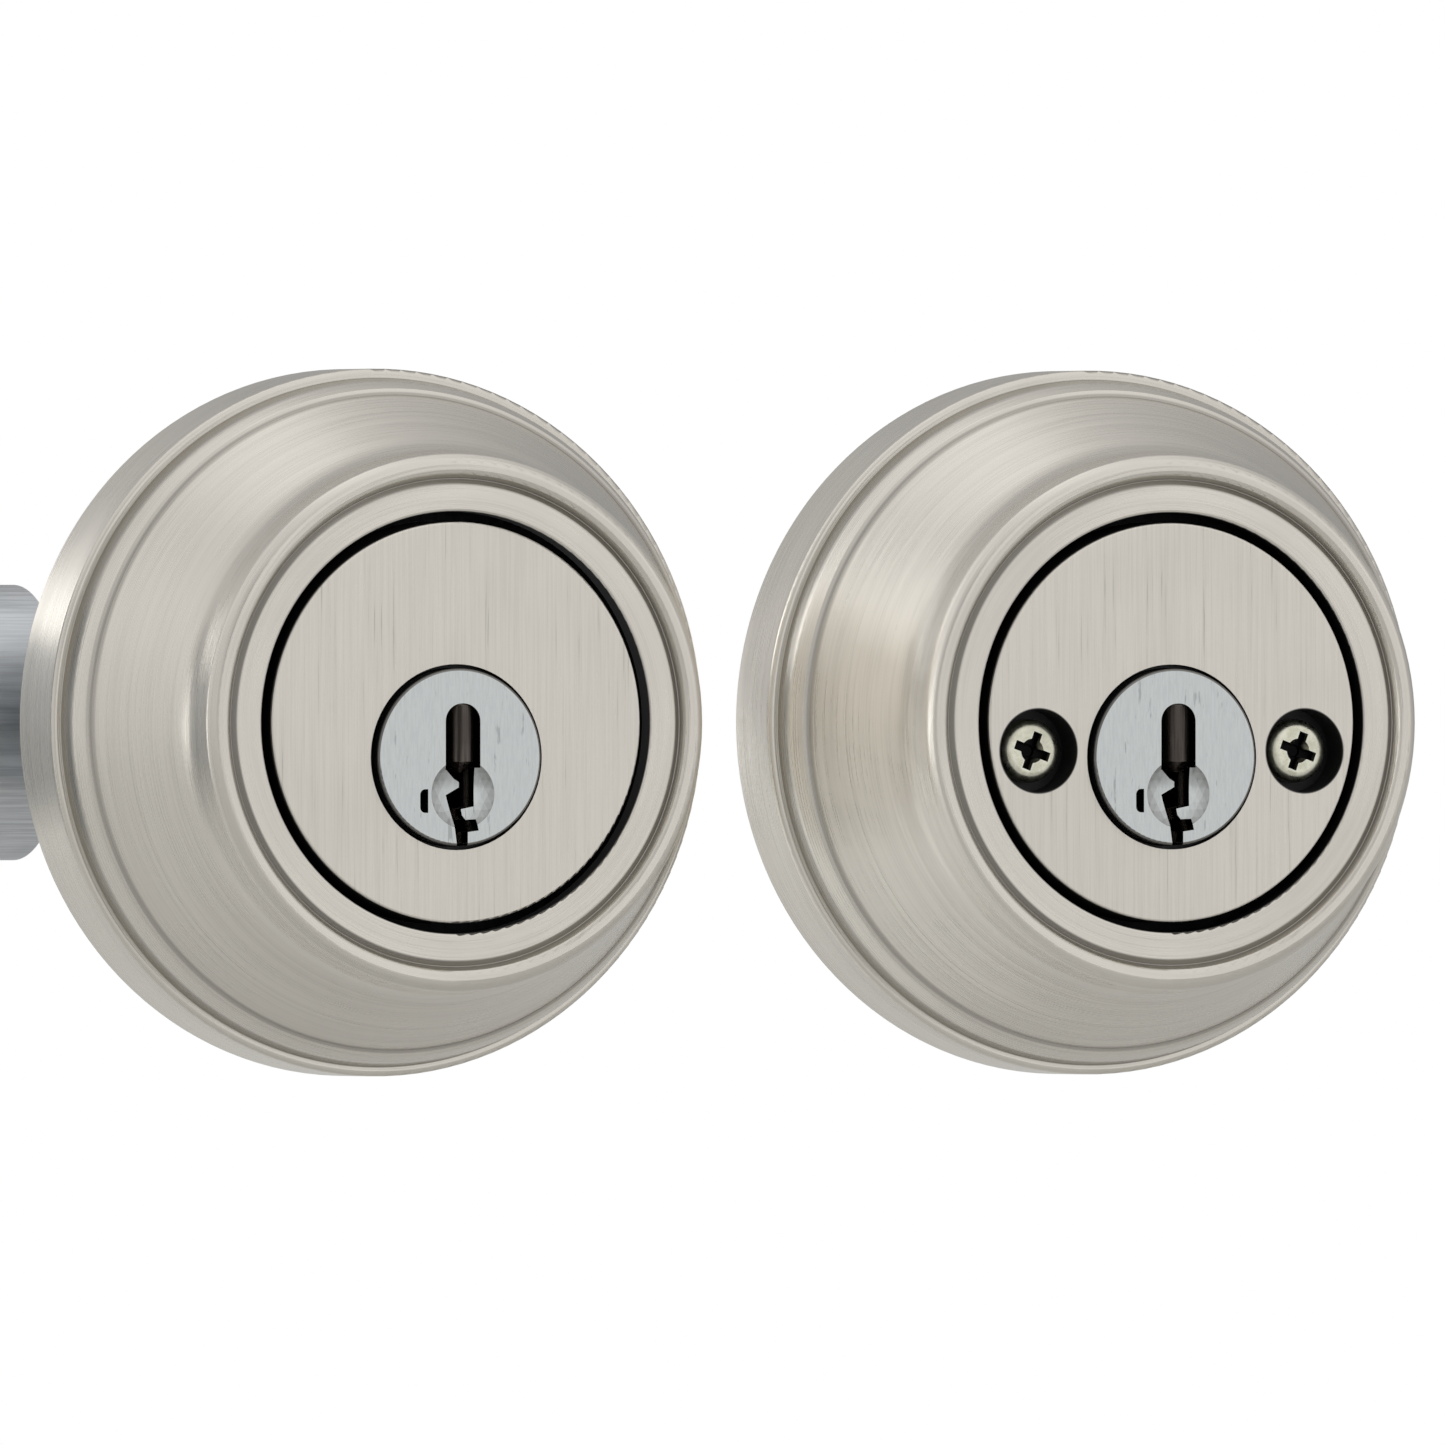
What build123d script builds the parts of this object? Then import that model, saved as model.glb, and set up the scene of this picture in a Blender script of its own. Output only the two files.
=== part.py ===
from build123d import *

import os

# A double-cylinder deadbolt for a hinged door: an outer half and an inner half, each a turned
# rose round a keyed cylinder, and the latch between them that throws the bolt.
#
# Lengths are in millimetres. The outer half stands on the door's outer face, y = 0, round the
# middle of the cross bore, x = 0 and z = 0, and its front looks along -Y. The bolt leaves the
# door's edge along -X. The inner half is laid beside the outer one, front to the same side.
# A height is a distance in front of a half's back plane, so it counts along -Y.

# ---- The door that the lock is made for ----
door_thickness = 44.45
cross_bore = 54.0
edge_bore = 25.4
backset = 60.325
latch_y = door_thickness / 2

# ---- The two halves ----
half_spacing = 70.0
rose_radius = 31.75
rose_back_bore = 29.95
rose_front_bore = 18.87
rose_front_inside = 23.6
face_height = 25.4
housing_radius = 17.95
chassis_bore = 18.0
chassis_radius = 29.87
chassis_back_radius = 28.4
chassis_height = 7.0
guard_ring_radius = 22.1
guard_ring_top = 20.0
pilot_radius = cross_bore / 2 - 0.4
pilot_height = 2.4

# ---- Cylinder plug, measured from its own axis and from its face ----
plug_drop = 3.1
plug_radius = 7.94
plug_bore = 8.0
plug_counterbore = 8.32
plug_counterbore_depth = 1.3
plug_height = 26.2
plug_neck_radius = 6.5
plug_neck_end = -1.9
keyway_depth = 19.5
pin_count = 5
pin_pitch = 3.81
first_pin_depth = 1.55
pin_offset = 0.66
pin_radius = 1.26
pin_hole = 1.31
pin_tip = -1.35
pin_top = 5.8
pin_hole_roof = 7.45
rack_thickness = 1.2
rack_offset = 2.45
rack_width = 2.0
rack_bottom = -2.4
rack_top = 5.2
pocket_start = 0.95
pocket_end = 18.9

# ---- Mounting screws ----
screw_x = 13.08
screw_z = -2.55
screw_shank = 2.08
screw_hole = 2.2
screw_head = 2.85
screw_recess = 3.75
screw_seat = 22.1
screw_head_height = 1.9
screw_reach = 35.0
retainer_reach = 32.0
retainer_thickness = 2.0
post_radius = 3.9
post_length = 14.3

# ---- Latch ----
throw = 25.4
cam_radius = 15.504
blade_height = 6.0
blade_thickness = 2.0
blade_end = 41.5
faceplate_width = 25.4
faceplate_length = 57.15
faceplate_thickness = 2.2
faceplate_corner = 6.35
faceplate_screws = 41.3
tube_radius = edge_bore / 2 - 0.3
tube_wall = 1.2
tube_end = -23.0
cheek_gap = 5.6
cheek_thickness = 1.2
bolt_width = 14.0
bolt_height = 19.0
bolt_corner = 3.0
bolt_rear = -26.0
tail_gap = 3.2
tail_thickness = 1.8
tail_end = 18.3
crank_pin_radius = 2.2
hub_radius = 6.5
arm_end_radius = 3.5
journal_radius = 4.0
journal_gap = 0.07
blade_play = 0.1
anti_saw_radius = 2.6
anti_saw_z = -5.9
tail_rivet_radius = 1.2
tail_rivet_z = 5.2
spacer_radius = 1.6
spacer_rivet_radius = 1.1


def turned(outline, radii=0.0):
    """A solid turned about the Y axis from (radius, height) points with rounded corners."""
    points = [(radius, -height) for radius, height in outline]
    rounding = [radii] * len(points) if isinstance(radii, float) else radii
    edge = FilletPolyline(*points, radius=rounding, close=True)
    return revolve(make_face(edge), Axis.Y)


def rod(radius, y_start, y_end, x=0.0, z=0.0):
    """A round bar along Y."""
    length = y_end - y_start
    return Pos(x, (y_start + y_end) / 2, z) * Rot(90, 0, 0) * Cylinder(radius, length)


def cross_rod(radius, x_start, x_end, y=0.0, z=0.0):
    """A round bar along X."""
    length = x_end - x_start
    return Pos((x_start + x_end) / 2, y, z) * Rot(0, 90, 0) * Cylinder(radius, length)


def block(x, y, z):
    """A box given by its low and high ends along each axis."""
    size = [ends[1] - ends[0] for ends in (x, y, z)]
    middle = [(ends[0] + ends[1]) / 2 for ends in (x, y, z)]
    return Pos(*middle) * Box(*size)


def plate(outline, y_start, y_end, radii=0.0):
    """A flat plate across Y, cut to (x, z) points with rounded corners."""
    rounding = [radii] * len(outline) if isinstance(radii, float) else radii
    edge = FilletPolyline(*[(x, z) for x, z in outline], radius=rounding, close=True)
    flat = Plane.XZ.offset(-y_start) * make_face(edge)
    return extrude(flat, y_end - y_start, dir=(0, 1, 0))


def edge_plate(width, height, corner, x_start, x_end):
    """A plate or bar across X on the latch's axis, with rounded corners."""
    flat = Plane.YZ.offset(x_start) * RectangleRounded(width, height, corner)
    return Pos(0, latch_y, 0) * extrude(flat, x_end - x_start, dir=(1, 0, 0))


# ---- Pieces that both halves have ----


def rose():
    """The turned trim: straight wall, two small steps, cone, cove, bead and flat front ring."""
    outline = [
        ((rose_radius, 0.0), 0.25),
        ((rose_radius, 7.65), 0.45),
        ((30.9, 7.65), 0.08),
        ((30.6, 9.5), 3.0),
        ((29.95, 11.0), 0.2),
        ((29.42, 11.25), 0.1),
        ((24.4, 21.25), 8.0),
        ((24.1, 25.2), 0.9),
        ((23.45, 26.05), 0.7),
        ((22.35, 26.0), 0.5),
        ((21.85, 25.1), 0.08),
        ((21.35, 25.4), 0.15),
        ((rose_front_bore, 25.4), 0.25),
        ((rose_front_bore, rose_front_inside), 0.0),
        ((22.4, rose_front_inside), 0.0),
        ((22.5, 20.6), 0.0),
        ((27.7, 10.4), 0.0),
        ((28.6, 7.6), 0.0),
        ((rose_back_bore, 5.6), 0.0),
        ((rose_back_bore, 1.55), 0.0),
        ((30.35, 1.55), 0.0),
        ((30.35, 0.45), 0.0),
        ((rose_back_bore, 0.45), 0.0),
        ((rose_back_bore, 0.0), 0.0),
    ]
    return turned([point for point, _ in outline], [radius for _, radius in outline])


def rose_retaining_ring():
    """A split ring that snaps into the rose's back groove and traps the chassis flange."""
    ring = turned([(28.75, 0.55), (30.3, 0.55), (30.3, 1.45), (28.75, 1.45)])
    split = block((27, 32), (-2, 0), (-1.5, 1.5))
    return ring - split


def chassis():
    """The die-cast base inside the rose, which stands on the door."""
    outline = [
        (chassis_bore, 0.0),
        (chassis_back_radius, 0.0),
        (chassis_back_radius, 1.8),
        (chassis_radius, 1.8),
        (chassis_radius, 4.8),
        (27.4, 5.6),
        (27.4, chassis_height),
        (chassis_bore, chassis_height),
    ]
    return turned(outline)


def guard_ring():
    """The hardened ring round the cylinder, against drilling and gripping."""
    outline = [
        (chassis_bore, chassis_height),
        (guard_ring_radius, chassis_height),
        (guard_ring_radius, guard_ring_top - 1.5),
        (guard_ring_radius - 1.5, guard_ring_top),
        (chassis_bore, guard_ring_top),
    ]
    return turned(outline)


def housing(outer):
    """The cylinder's body: a round slug bored below its middle for the plug."""
    outline = [
        (0.0, 0.0),
        (housing_radius, 0.0),
        (housing_radius, face_height),
        (0.0, face_height),
    ]
    body = turned(outline, [0.0, 0.0, 0.2, 0.0])
    body -= rod(plug_bore, -face_height - 1, 1, z=-plug_drop)
    counterbore_floor = -face_height + plug_counterbore_depth
    body -= rod(plug_counterbore, -face_height - 1, counterbore_floor, z=-plug_drop)
    locking_groove = block((7.5, 8.9), (-24, -6), (-plug_drop - 0.8, -plug_drop + 0.8))
    body -= locking_groove
    for side in (-screw_x, screw_x):
        if outer:
            body += rod(post_radius, 0, post_length, x=side, z=screw_z)
            body -= rod(screw_hole, 2.5, post_length + 1, x=side, z=screw_z)
        else:
            body -= rod(screw_hole, -face_height - 1, 1, x=side, z=screw_z)
            body -= rod(screw_recess, -face_height - 1, -screw_seat, x=side, z=screw_z)
    return body


def keyway_outline():
    """The warded key slot's edge, as (x, z) from the plug's axis."""
    return [
        (-1.37, -1.15),
        (-1.37, 4.81),
        (2.0, 4.81),
        (2.0, -0.95),
        (1.47, -0.95),
        (1.47, -4.4),
        (0.22, -4.65),
        (0.3, -5.2),
        (0.6, -5.6),
        (1.6, -5.55),
        (1.84, -6.55),
        (0.78, -6.7),
        (0.78, -9.0),
        (-0.27, -9.0),
        (-0.27, -7.9),
        (-0.52, -6.1),
        (-1.27, -3.4),
        (0.04, -2.7),
        (0.04, -2.23),
        (-0.46, -1.95),
        (-1.27, -1.15),
    ]


def pin_depth(number):
    """How far behind the plug's face a key pin stands."""
    return first_pin_depth + pin_pitch * number


def plug():
    """The turning core, with its keyway, pin holes, rack pocket and locking-bar slot."""
    outline = [
        (0.0, plug_neck_end),
        (plug_neck_radius, plug_neck_end),
        (plug_neck_radius, 0.0),
        (plug_radius, 0.0),
        (plug_radius, plug_height),
        (0.0, plug_height),
    ]
    body = turned(outline, [0.0, 0.1, 0.0, 0.0, 0.25, 0.0])
    clip_groove = turned([(5.6, -1.05), (7.0, -1.05), (7.0, -0.15), (5.6, -0.15)])
    body -= clip_groove
    rounding = [0.0, 1.6, 1.6] + [0.0] * (len(keyway_outline()) - 3)
    face_y = -plug_height
    body -= plate(keyway_outline(), face_y - 1, face_y + keyway_depth, rounding)
    dish = Pos(0.3, face_y - 13.3, -3.3) * Sphere(13.65)
    body -= dish
    service_slot = plate(
        [(-3.85, -2.86), (-3.07, -2.86), (-3.07, -4.98), (-3.85, -4.98)],
        face_y - 1,
        face_y + 6,
        [0.5, 0.05, 0.05, 0.5],
    )
    body -= service_slot
    for number in range(pin_count):
        y = face_y + pin_depth(number)
        body -= Pos(pin_offset, y, 3.7) * Cylinder(pin_hole, 2 * (pin_hole_roof - 3.7))
        window = block((1.8, 2.6), (y - 0.55, y + 0.4), (4.6, pin_hole_roof - 0.3))
        body -= window
    pocket = (face_y + pocket_start, face_y + pocket_end)
    body -= block((2.4, 3.7), pocket, (-2.6, 6.65))
    body -= block((3.7, 4.9), pocket, (-2.6, 5.2))
    body -= block((4.9, 9.0), pocket, (-0.95, 0.95))
    return Pos(0, 0, -plug_drop) * body


def key_pin(number):
    """A key pin: pointed foot, straight shank, and a neck that its rack's finger grips."""
    outline = [
        (0.0, pin_tip),
        (0.35, pin_tip),
        (pin_radius, -0.4),
        (pin_radius, 4.7),
        (0.75, 4.7),
        (0.75, 5.3),
        (1.15, 5.3),
        (1.15, pin_top),
        (0.0, pin_top),
    ]
    section = make_face(Plane.XZ * Polyline(*outline, close=True))
    pin = revolve(section, Axis.Z)
    return Pos(pin_offset, -plug_height + pin_depth(number), -plug_drop) * pin


def rack(number):
    """The flat rack beside a key pin, which the pin lifts by its finger."""
    y = -plug_height + pin_depth(number)
    body_y = (y - 0.5, y - 0.5 + rack_width)
    body = block((rack_offset, rack_offset + rack_thickness), body_y, (rack_bottom, rack_top))
    finger = block((1.48, rack_offset), (y - 0.4, y + 0.3), (4.78, rack_top))
    gate = block((3.2, 4.0), (y - 1, y + 3), (0.3, 1.1))
    teeth = [block((2.3, 2.65), (y - 1, y + 3), (z, z + 0.35)) for z in (-1.8, -1.0, -0.2, 2.2)]
    return Pos(0, 0, -plug_drop) * (body + finger - gate - teeth)


def pin_springs():
    """The small coil springs that push the key pins down."""
    coils = []
    for number in range(pin_count):
        path = Helix(pitch=0.5, height=1.25, radius=0.8)
        wire = sweep(Plane(path @ 0, z_dir=path % 0) * Circle(0.11), path=path)
        place = Pos(pin_offset, -plug_height + pin_depth(number), pin_top + 0.2 - plug_drop)
        coils.append(place * wire)
    return coils


def rack_carrier():
    """The comb that keeps the racks apart and carries them in the plug."""
    face_y = -plug_height
    depth = (face_y + pocket_start + 0.1, face_y + pocket_end - 0.1)
    comb = block((3.75, 4.85), depth, (-2.5, 5.1))
    for number in range(pin_count - 1):
        start = face_y + pin_depth(number) - 0.5 + rack_width + 0.1
        end = start + pin_pitch - rack_width - 0.2
        comb += block((rack_offset, 3.75), (start, end), (-2.5, 5.1))
    return Pos(0, 0, -plug_drop) * comb


def locking_bar():
    """The side bar that blocks the plug until the racks line up; drawn in, as with a key."""
    face_y = -plug_height
    depth = (face_y + pocket_start + 0.2, face_y + pocket_end - 0.2)
    bar = block((4.95, 7.0), depth, (-0.85, 0.85))
    nose = plate([(7.0, -0.85), (7.75, -0.3), (7.75, 0.3), (7.0, 0.85)], *depth)
    return Pos(0, 0, -plug_drop) * (bar + nose)


def plug_clip():
    """The open clip behind the housing that keeps the plug in."""
    ring = turned([(5.65, -0.95), (7.4, -0.95), (7.4, -0.2), (5.65, -0.2)])
    return Pos(0, 0, -plug_drop) * (ring - block((-3, 3), (-1, 2), (-9, -3)))


# ---- Outer half and drive ----


def support_plate():
    """The steel disc that centres the outer half in the cross bore."""
    outline = [(0.0, 0.0), (pilot_radius, 0.0), (pilot_radius, -pilot_height), (0.0, -pilot_height)]
    disc = turned(outline, [0.0, 0.0, 0.3, 0.0])
    disc -= rod(8.0, -1, 4, z=-plug_drop)
    for side in (-screw_x, screw_x):
        disc -= rod(post_radius + 0.1, -1, 4, x=side, z=screw_z)
    return disc


def torque_blade():
    """The flat blade that carries the plug's turn through the latch to the inner half."""
    head = turned([(0.0, -2.3), (7.2, -2.3), (7.2, -3.9), (0.0, -3.9)], [0.0, 0.2, 0.2, 0.0])
    half_x = blade_thickness / 2
    half_z = blade_height / 2
    bar = block((-half_x, half_x), (3.9, blade_end), (-half_z, half_z))
    tip = bar.edges().group_by(Axis.Y)[-1].filter_by(Axis.X)
    bar = chamfer(tip, 0.9)
    return Pos(0, 0, -plug_drop) * (head + bar)


def blade_retainer():
    """The pressed cup that keeps the blade's head behind the plug."""
    cup = turned([(4.3, -4.2), (8.1, -4.2), (8.1, -2.4), (9.0, -2.4), (9.0, -5.0), (4.3, -5.0)])
    return Pos(0, 0, -plug_drop) * cup


# ---- Latch ----


def faceplate():
    """The rounded plate let into the door's edge, with two countersunk screw holes."""
    outer_x = -backset
    inner_x = outer_x + faceplate_thickness
    body = edge_plate(faceplate_width, faceplate_length, faceplate_corner, outer_x, inner_x)
    body = chamfer(body.edges().group_by(Axis.X)[0], 0.4)
    body -= edge_plate(bolt_width + 0.6, bolt_height + 0.6, bolt_corner + 0.3, outer_x, inner_x)
    for side in (-1, 1):
        z = side * faceplate_screws / 2
        body -= cross_rod(2.2, outer_x - 1, inner_x + 1, latch_y, z)
        cone = Rot(0, 90, 0) * Cone(4.2, 2.2, 1.3)
        body -= Pos(outer_x + 0.65, latch_y, z) * cone
    return body


def latch_back_plate():
    """The thinner plate behind the faceplate that holds the tube."""
    front_x = -backset + faceplate_thickness
    back_x = front_x + 1.2
    body = edge_plate(24.4, 55.6, 6.0, front_x, back_x)
    body -= edge_plate(bolt_width + 0.6, bolt_height + 0.6, bolt_corner + 0.3, front_x, back_x)
    for side in (-1, 1):
        body -= cross_rod(2.4, front_x - 1, back_x + 1, latch_y, side * faceplate_screws / 2)
    return body


def latch_tube():
    """The round tube in the edge bore that guides the bolt."""
    start = -backset + faceplate_thickness + 1.2
    tube = cross_rod(tube_radius, start, tube_end, latch_y)
    tube -= cross_rod(tube_radius - tube_wall, start - 1, tube_end + 1, latch_y)
    return tube


def cheek(side):
    """One of the two side plates that carry the hub; side is -1 outside, +1 inside."""
    inner = latch_y + side * cheek_gap
    outer = latch_y + side * (cheek_gap + cheek_thickness)
    low_y, high_y = min(inner, outer), max(inner, outer)
    outline = [
        (-25.5, -8.6),
        (-22.8, -8.6),
        (-22.8, -10.3),
        (19.0, -10.3),
        (19.0, 10.3),
        (-22.8, 10.3),
        (-22.8, 8.6),
        (-25.5, 8.6),
    ]
    body = plate(outline, low_y, high_y, [0.0, 0.0, 0.0, 2.5, 2.5, 0.0, 0.0, 0.0])
    body -= rod(journal_radius + journal_gap, low_y - 1, high_y + 1, z=-plug_drop)
    for x in (-screw_x, screw_x):
        body -= rod(2.6, low_y - 1, high_y + 1, x=x, z=screw_z)
    for x, z in spacer_places():
        body -= rod(spacer_rivet_radius, low_y - 1, high_y + 1, x=x, z=z)
    return body


def spacer_places():
    """Where the three spacers stand between the cheeks, as (x, z)."""
    return [(-21.0, -6.5), (-screw_x, -8.2), (screw_x, -8.2)]


def cheek_spacers():
    """The shouldered rivets that hold the cheeks apart."""
    outer = cheek_gap + cheek_thickness
    half = [
        (0.0, 0.0),
        (spacer_radius, 0.0),
        (spacer_radius, -cheek_gap),
        (spacer_rivet_radius, -cheek_gap),
        (spacer_rivet_radius, -outer),
        (2.0, -outer),
        (1.6, -outer - 0.7),
        (0.0, -outer - 0.7),
    ]
    rivet = turned(half)
    rivet += mirror(rivet, Plane.XZ)
    return [Pos(x, latch_y, z) * rivet for x, z in spacer_places()]


def deadbolt():
    """The steel bolt, with a flat tang behind for the tail bars."""
    bar = edge_plate(bolt_width, bolt_height, bolt_corner, -backset, bolt_rear)
    nose = bar.edges().group_by(Axis.X)[0]
    bar = chamfer(nose, 0.6)
    tang = block((bolt_rear, -16), (latch_y - tail_gap, latch_y + tail_gap), (-3.0, 9.4))
    bar += tang
    bar -= cross_rod(anti_saw_radius + 0.1, -57.5, bolt_rear + 1, latch_y, anti_saw_z)
    for x in tail_rivet_places():
        bar -= rod(tail_rivet_radius, latch_y - 5, latch_y + 5, x=x, z=tail_rivet_z)
    return bar


def bolt_anti_saw_pin():
    """The hardened roller inside the bolt that turns under a saw."""
    return cross_rod(anti_saw_radius, -57.3, -29.0, latch_y, anti_saw_z)


def tail_rivet_places():
    """Where the tail bars are riveted to the bolt's tang, as x."""
    return [-23.0, -19.0]


def bolt_tail(side):
    """One of the two bars that the crank pin drives; side is -1 outside, +1 inside."""
    inner = latch_y + side * tail_gap
    outer = latch_y + side * (tail_gap + tail_thickness)
    low_y, high_y = min(inner, outer), max(inner, outer)
    pin_x = throw / 2
    slot = crank_pin_radius + 0.9
    outline = [
        (-25.8, 1.3),
        (tail_end, 1.3),
        (tail_end, 11.0),
        (pin_x + slot, 11.0),
        (pin_x + slot, 3.2),
        (pin_x - slot, 3.2),
        (pin_x - slot, 11.0),
        (7.2, 11.0),
        (5.2, 8.4),
        (-25.8, 8.4),
    ]
    body = plate(outline, low_y, high_y, [0.5, 1.5, 0.6, 0.6, 0.5, 0.5, 0.6, 0.6, 1.0, 0.5])
    for x in tail_rivet_places():
        body -= rod(tail_rivet_radius, low_y - 1, high_y + 1, x=x, z=tail_rivet_z)
    return body


def tail_rivets():
    """The rivets through the tail bars and the bolt's tang."""
    reach = tail_gap + tail_thickness
    half = [
        (0.0, 0.0),
        (tail_rivet_radius, 0.0),
        (tail_rivet_radius, -reach),
        (1.9, -reach),
        (1.5, -reach - 0.4),
        (0.0, -reach - 0.4),
    ]
    rivet = turned(half)
    rivet += mirror(rivet, Plane.XZ)
    return [Pos(x, latch_y, tail_rivet_z) * rivet for x in tail_rivet_places()]


def crank_pin_place():
    """The crank pin's centre with the bolt drawn in, as (x, z)."""
    rise = (cam_radius**2 - (throw / 2) ** 2) ** 0.5
    return throw / 2, rise - plug_drop


def crank_hub():
    """The hub that the blade turns: drum, two journals and the arm that drives the bolt."""
    journal_end = cheek_gap + cheek_thickness + 0.6
    hub = rod(hub_radius, latch_y - 3, latch_y + 3, z=-plug_drop)
    hub += rod(journal_radius, latch_y - journal_end, latch_y + journal_end, z=-plug_drop)
    pin_x, pin_z = crank_pin_place()
    arm = make_hull([Pos(0, -plug_drop) * Circle(5.0).edge(), Pos(pin_x, pin_z) * Circle(arm_end_radius).edge()])
    hub += extrude(Plane.XZ.offset(-latch_y + 1.5) * arm, 3.0, dir=(0, 1, 0))
    slot_x = blade_thickness / 2 + blade_play
    slot_z = blade_height / 2 + blade_play
    slot = block((-slot_x, slot_x), (0, door_thickness), (-slot_z, slot_z))
    hub -= Pos(0, 0, -plug_drop) * slot
    hub -= rod(crank_pin_radius, latch_y - 3, latch_y + 3, x=pin_x, z=pin_z)
    return hub


def crank_pin():
    """The pin through the arm's end that runs in the tail bars' slots."""
    pin_x, pin_z = crank_pin_place()
    return rod(crank_pin_radius, latch_y - 5.2, latch_y + 5.2, x=pin_x, z=pin_z)


def detent_spring():
    """The leaf under the hub that holds the bolt at either end of its throw."""
    top = [(-14.9, -9.9), (-6.0, -9.9), (-3.0, -9.72), (3.0, -9.72), (6.0, -9.9), (14.9, -9.9)]
    bottom = [(x, z - 0.3) for x, z in reversed(top)]
    return plate(top + bottom, latch_y - 2.6, latch_y + 2.6)


# ---- Inner half ----


def inner_cam():
    """The slotted cam behind the inner plug that receives the blade's tip."""
    outline = [(0.0, -2.1), (7.2, -2.1), (7.2, -3.7), (5.0, -3.7), (5.0, -9.5), (0.0, -9.5)]
    body = turned(outline, [0.0, 0.2, 0.2, 0.0, 0.4, 0.0])
    slot_x = blade_thickness / 2 + 0.15
    slot_z = blade_height / 2 + 0.15
    body -= block((-slot_x, slot_x), (2.6, 10), (-slot_z, slot_z))
    return Pos(0, 0, -plug_drop) * body


def mounting_screws():
    """The two long screws with cross-recessed pan heads that draw the halves together."""
    outline = [
        (0.0, -screw_reach),
        (screw_shank - 0.5, -screw_reach),
        (screw_shank, -screw_reach + 0.8),
        (screw_shank, screw_seat),
        (screw_head, screw_seat),
        (screw_head, screw_seat + screw_head_height),
        (0.0, screw_seat + screw_head_height),
    ]
    screw = turned(outline, [0.0, 0.0, 0.0, 0.0, 0.2, 0.9, 0.0])
    top = -(screw_seat + screw_head_height)
    for turn in (0, 90):
        wing = block((-1.75, 1.75), (top - 1, top + 1.1), (-0.42, 0.42))
        screw -= Rot(0, turn + 20, 0) * wing
    hub = Pos(0, top + 0.6, 0) * Rot(90, 0, 0) * Cone(0.5, 1.15, 1.4)
    screw -= hub
    return [Pos(x, 0, screw_z) * screw for x in (-screw_x, screw_x)]


def screw_retainer():
    """The nylon strip on the screws' ends that keeps them in the half while it is fitted."""
    low_y = retainer_reach - retainer_thickness
    ears = [(-16.1, -3.6), (16.1, -3.6), (16.1, 3.6), (-16.1, 3.6)]
    body = Pos(0, 0, screw_z) * plate(ears, low_y, retainer_reach, 3.5)
    body += rod(12.0, low_y, retainer_reach, z=-plug_drop)
    body -= rod(9.3, 0, door_thickness, z=-plug_drop)
    for x in (-screw_x, screw_x):
        body -= rod(screw_shank + 0.06, 0, door_thickness, x=x, z=screw_z)
    return body


# ---- Assembly ----


def half_parts(side):
    """The named pieces that one half has in common with the other, in the outer half's place."""
    parts = {
        f"{side}_rose": rose(),
        f"{side}_chassis": chassis(),
        f"{side}_guard_ring": guard_ring(),
        f"{side}_cylinder_housing": housing(outer=side == "exterior"),
        f"{side}_plug": plug(),
        f"{side}_pin_springs": pin_springs(),
        f"{side}_rack_carrier": rack_carrier(),
        f"{side}_locking_bar": locking_bar(),
        f"{side}_plug_clip": plug_clip(),
    }
    for number in range(pin_count):
        parts[f"{side}_key_pin_{number + 1}"] = key_pin(number)
        parts[f"{side}_rack_{number + 1}"] = rack(number)
    return parts


def latch_parts():
    """The named pieces of the latch and its drive."""
    return {
        "latch_faceplate": faceplate(),
        "latch_back_plate": latch_back_plate(),
        "latch_tube": latch_tube(),
        "latch_cheek_outer": cheek(-1),
        "latch_cheek_inner": cheek(1),
        "cheek_spacers": cheek_spacers(),
        "deadbolt": deadbolt(),
        "bolt_anti_saw_pin": bolt_anti_saw_pin(),
        "bolt_tail_outer": bolt_tail(-1),
        "bolt_tail_inner": bolt_tail(1),
        "tail_rivets": tail_rivets(),
        "crank_hub": crank_hub(),
        "crank_pin": crank_pin(),
        "detent_spring": detent_spring(),
    }


def exterior_parts():
    """The outer half, with the drive that leaves its back."""
    parts = half_parts("exterior")
    parts["exterior_rose_retaining_ring"] = rose_retaining_ring()
    parts["exterior_support_plate"] = support_plate()
    parts["torque_blade"] = torque_blade()
    parts["blade_retainer"] = blade_retainer()
    return parts


def interior_parts():
    """The inner half with its screws, laid beside the outer half."""
    parts = half_parts("interior")
    parts["interior_cam"] = inner_cam()
    parts["mounting_screws"] = mounting_screws()
    parts["screw_retainer"] = screw_retainer()
    return parts


def moved(piece, x):
    """A piece, or a list of them, shifted along X; a list becomes one compound."""
    if isinstance(piece, list):
        return Compound(children=[Pos(x, 0, 0) * solid for solid in piece])
    return Pos(x, 0, 0) * piece


os.makedirs("parts", exist_ok=True)
pieces = {name: moved(piece, 0) for name, piece in {**exterior_parts(), **latch_parts()}.items()}
pieces.update({name: moved(piece, half_spacing) for name, piece in interior_parts().items()})
for name, piece in pieces.items():
    export_step(piece, f"parts/{name}.step")
print(len(pieces), "sub-parts written")
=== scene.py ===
# %% [markdown]
# # A double-cylinder deadbolt, dressed for its portrait
# The metal parts arrive already shaped, in metres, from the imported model. This script gives each of
# them a finish, winds the ten little pin springs, and sets a small product-photography studio
# round the lock. Every finish is procedural: it is worked out from a point's place on the part, so
# it needs no image and no unwrapping.

import math

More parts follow.
